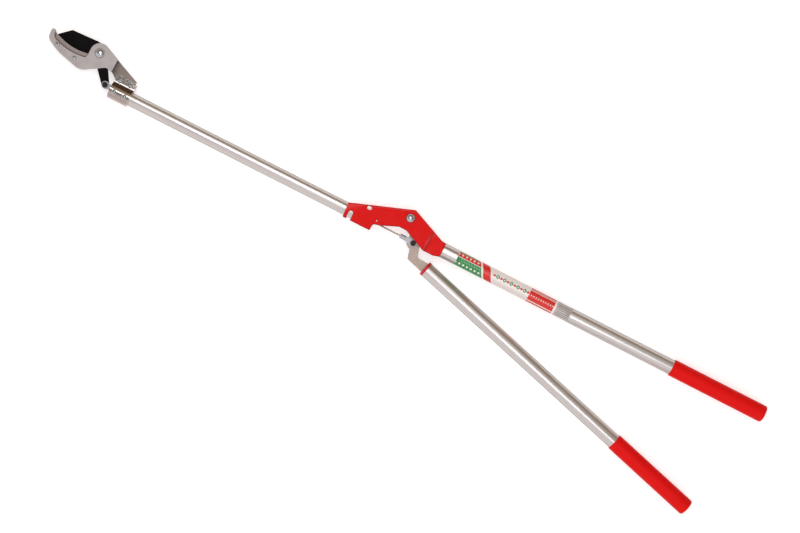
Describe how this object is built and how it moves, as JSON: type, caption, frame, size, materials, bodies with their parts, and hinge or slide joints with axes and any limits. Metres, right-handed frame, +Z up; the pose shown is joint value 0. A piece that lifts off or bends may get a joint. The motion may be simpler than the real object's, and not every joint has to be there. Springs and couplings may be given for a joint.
{
  "type": "long-reach anvil lopper",
  "caption": "Long-reach anvil lopper: a pivoting blade shuts on an anvil in a hooked head on a fixed pole, pulled by a rod from a lever handle beside a fixed handle.",
  "frame": {"origin": "centre of the underside of the overall box, with the tool lying on its rear side", "axes": "X along the pole from the hook to the grips, Y from the lever handle towards the crown of the bracket, Z up out of the front of the tool"},
  "size_m": [1.5126, 0.2956, 0.0437],
  "materials": {
    "zinc_dark": "dull dark grey phosphated plate",
    "zinc_matte": "matte bead-blasted casting",
    "anvil_steel": "dull taupe anvil strip",
    "zinc_bright": "bright zinc plating",
    "bronze": "plain turned bush",
    "clamp_chrome": "bright plated pressing",
    "tube_aluminium": "drawn aluminium tube, satin anodised",
    "bracket_paint": "glossy red enamel on steel sheet",
    "grip_vinyl": "semi-gloss red dipped vinyl",
    "arm_steel": "flat bar, satin",
    "plug_plastic": "moulded red plug",
    "rod_steel": "dull drawn rod",
    "fork_steel": "bright zinc plating",
    "black_oxide": "black oxide socket screws",
    "blade_coating": "black non-stick coating on steel"
  },
  "bodies": {
    "frame": {"head_plate": "zinc_dark", "front_cheek": "zinc_matte", "anvil_insert": "anvil_steel", "anvil_screws": "zinc_bright", "anvil_nuts": "zinc_bright", "blade_pivot_bolt": "zinc_bright", "blade_pivot_bush": "bronze", "blade_pivot_washer": "zinc_bright", "blade_pivot_nut": "zinc_bright", "pole_clamp": "clamp_chrome", "clamp_bolts": "zinc_bright", "clamp_nuts": "zinc_bright", "saddle_screws": "zinc_bright", "pole": "tube_aluminium", "bracket": "bracket_paint", "pole_rivets": "bracket_paint", "handle_rivets": "bracket_paint", "main_pivot_bolt": "zinc_bright", "main_pivot_bush": "bronze", "main_pivot_spacers": "zinc_bright", "main_pivot_washer": "zinc_bright", "main_pivot_nut": "zinc_bright", "fixed_handle_tube": "tube_aluminium", "fixed_handle_grip": "grip_vinyl"},
    "lever": {"lever_arm": "arm_steel", "lever_plug": "plug_plastic", "lever_tube": "tube_aluminium", "lever_screws": "zinc_bright", "lever_grip": "grip_vinyl"},
    "rod": {"pull_rod": "rod_steel", "lower_fork": "fork_steel", "lower_fork_pin": "black_oxide", "lower_fork_nut": "zinc_bright", "upper_fork": "fork_steel", "upper_fork_pin": "black_oxide", "upper_fork_nut": "zinc_bright"},
    "blade": {"blade": "blade_coating"}
  },
  "joints": [
    {"name": "lever_pivot", "type": "hinge", "parent": "frame", "child": "lever", "pos_m": [0.00073, 0.11648, 0.02415], "axis": [0, 0, -1], "range_deg": [0, 56]},
    {"name": "blade_pivot", "type": "hinge", "parent": "frame", "child": "blade", "pos_m": [-0.65627, 0.12898, 0.02415], "axis": [0, 0, -1], "range_deg": [0, 46]},
    {"name": "rod_pin", "type": "hinge", "parent": "lever", "child": "rod", "pos_m": [0.02593, 0.07698, 0.02415], "axis": [0, 0, -1], "range_deg": [-57, 0]}
  ],
  "couplings": [
    {"joint": "blade_pivot", "follows": "lever_pivot", "ratio": 0.804},
    {"joint": "rod_pin", "follows": "lever_pivot", "ratio": -1.011}
  ]
}
